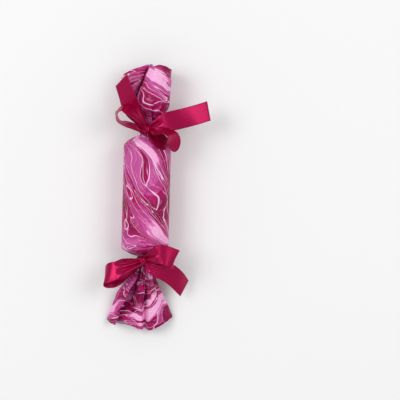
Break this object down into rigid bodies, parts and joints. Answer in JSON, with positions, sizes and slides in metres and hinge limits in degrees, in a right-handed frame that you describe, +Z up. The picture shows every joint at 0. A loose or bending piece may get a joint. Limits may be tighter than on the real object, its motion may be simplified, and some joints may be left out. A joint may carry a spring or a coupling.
{
  "type": "christmas cracker",
  "caption": "Paper-wrapped party cracker: a card tube in marbled paper, gathered and tied with satin bows, with a pull snap, crown, motto and spinning top inside; either end pulls off.",
  "frame": {"origin": "on the table, under the middle of the tube, at the line where the barrel rests", "axes": "+Y along the cracker's axis towards the open bell end, +X to the right seen from above, +Z up from the table"},
  "size_m": [0.0983, 0.2577, 0.0542],
  "materials": {
    "marbled_paper": "matt paper marbled in crimson, magenta, pink and white",
    "tube_card": "plain grey-brown rolled card",
    "satin_ribbon": "crimson satin",
    "snap_card": "uncoated strip card",
    "snap_compound": "rough grey compound",
    "crown_tissue": "thin pink tissue",
    "motto_paper": "plain white paper, blank",
    "turned_wood": "turned beech, sanded"
  },
  "bodies": {
    "barrel": {"barrel_wrap": "marbled_paper", "centre_tube": "tube_card"},
    "bell_end": {"upper_end_wrap": "marbled_paper", "upper_ribbon": "satin_ribbon", "snap_upper_strip": "snap_card", "snap_friction_patch": "snap_compound", "snap_sleeve": "snap_card"},
    "fan_end": {"lower_end_wrap": "marbled_paper", "lower_ribbon": "satin_ribbon", "snap_lower_strip": "snap_card", "snap_charge": "snap_compound"},
    "crown": {"paper_crown": "crown_tissue"},
    "motto": {"motto_slip": "motto_paper"},
    "gift": {"top_disc": "turned_wood", "top_spindle": "turned_wood"}
  },
  "joints": [
    {"name": "bell_end_pull", "type": "slide", "parent": "barrel", "child": "bell_end", "axis": [0, 1, 0], "range_m": [0, 0.09]},
    {"name": "fan_end_pull", "type": "slide", "parent": "barrel", "child": "fan_end", "axis": [0, -1, 0], "range_m": [0, 0.09]},
    {"name": "crown_shift", "type": "slide", "parent": "barrel", "child": "crown", "axis": [0, 1, 0], "range_m": [-0.003, 0.003]},
    {"name": "motto_shift", "type": "slide", "parent": "barrel", "child": "motto", "axis": [0, 1, 0], "range_m": [-0.015, 0.015]},
    {"name": "gift_shift", "type": "slide", "parent": "barrel", "child": "gift", "axis": [0, 1, 0], "range_m": [-0.003, 0.003]}
  ]
}
